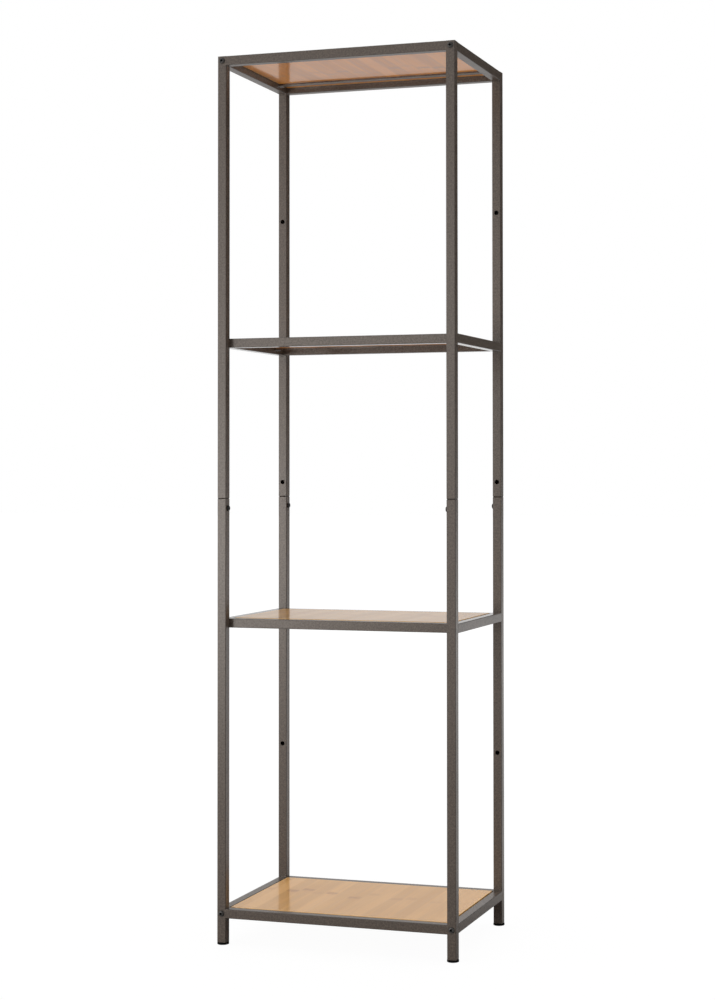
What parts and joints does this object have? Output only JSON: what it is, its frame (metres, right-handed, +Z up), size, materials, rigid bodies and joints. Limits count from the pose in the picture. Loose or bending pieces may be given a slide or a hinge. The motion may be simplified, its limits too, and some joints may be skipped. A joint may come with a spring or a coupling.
{
  "type": "pipe shelving unit",
  "caption": "Tall open shelving unit: square-tube posts in two lengths, tube shelf frames, thin bamboo boards let into them on flat bars, and screw-in levelling feet.",
  "frame": {"origin": "middle of the footprint on the floor", "axes": "+X to the right seen from the front, -Y the front, +Z up"},
  "size_m": [0.4544, 0.3066, 1.6006],
  "materials": {
    "bronze_powder_coat": "dark grey-brown fine-textured satin powder coat on steel",
    "bamboo_board": "lacquered bamboo in narrow strips",
    "zinc_steel": "zinc-plated steel",
    "bright_tab": "bare bright steel",
    "black_bolt": "black oxide steel",
    "black_plastic": "moulded black plastic"
  },
  "bodies": {
    "rack": {"post_front_left_lower": "bronze_powder_coat", "post_front_left_upper": "bronze_powder_coat", "post_front_right_lower": "bronze_powder_coat", "post_front_right_upper": "bronze_powder_coat", "post_rear_left_lower": "bronze_powder_coat", "post_rear_left_upper": "bronze_powder_coat", "post_rear_right_lower": "bronze_powder_coat", "post_rear_right_upper": "bronze_powder_coat", "rail_bottom_front": "bronze_powder_coat", "rail_bottom_rear": "bronze_powder_coat", "rail_bottom_left": "bronze_powder_coat", "rail_bottom_right": "bronze_powder_coat", "rail_top_front": "bronze_powder_coat", "rail_top_rear": "bronze_powder_coat", "rail_top_left": "bronze_powder_coat", "rail_top_right": "bronze_powder_coat", "frame_lower_front": "bronze_powder_coat", "frame_lower_rear": "bronze_powder_coat", "frame_lower_left": "bronze_powder_coat", "frame_lower_right": "bronze_powder_coat", "frame_upper_front": "bronze_powder_coat", "frame_upper_rear": "bronze_powder_coat", "frame_upper_left": "bronze_powder_coat", "frame_upper_right": "bronze_powder_coat", "bar_bottom_front": "bronze_powder_coat", "bar_bottom_rear": "bronze_powder_coat", "bar_lower_front": "bronze_powder_coat", "bar_lower_rear": "bronze_powder_coat", "bar_upper_front": "bronze_powder_coat", "bar_upper_rear": "bronze_powder_coat", "bar_top_front": "bronze_powder_coat", "bar_top_rear": "bronze_powder_coat", "post_front_left_joiner": "zinc_steel", "post_front_right_joiner": "zinc_steel", "post_rear_left_joiner": "zinc_steel", "post_rear_right_joiner": "zinc_steel", "board_bottom": "bamboo_board", "board_lower": "bamboo_board", "board_upper": "bamboo_board", "board_top": "bamboo_board", "rail_nuts": "zinc_steel", "shelf_pins": "zinc_steel", "bar_tabs": "bright_tab", "corner_bolts": "black_bolt", "joint_bolts": "black_bolt", "post_caps": "black_plastic", "foot_inserts": "black_plastic"},
    "foot_front_left": {"foot_front_left_pad": "black_plastic", "foot_front_left_stud": "zinc_steel"},
    "foot_front_right": {"foot_front_right_pad": "black_plastic", "foot_front_right_stud": "zinc_steel"},
    "foot_rear_left": {"foot_rear_left_pad": "black_plastic", "foot_rear_left_stud": "zinc_steel"},
    "foot_rear_right": {"foot_rear_right_pad": "black_plastic", "foot_rear_right_stud": "zinc_steel"}
  },
  "joints": [
    {"name": "foot_front_left_screw", "type": "slide", "parent": "rack", "child": "foot_front_left", "axis": [0, 0, -1], "range_m": [0, 0.008]},
    {"name": "foot_front_right_screw", "type": "slide", "parent": "rack", "child": "foot_front_right", "axis": [0, 0, -1], "range_m": [0, 0.008]},
    {"name": "foot_rear_left_screw", "type": "slide", "parent": "rack", "child": "foot_rear_left", "axis": [0, 0, -1], "range_m": [0, 0.008]},
    {"name": "foot_rear_right_screw", "type": "slide", "parent": "rack", "child": "foot_rear_right", "axis": [0, 0, -1], "range_m": [0, 0.008]}
  ]
}
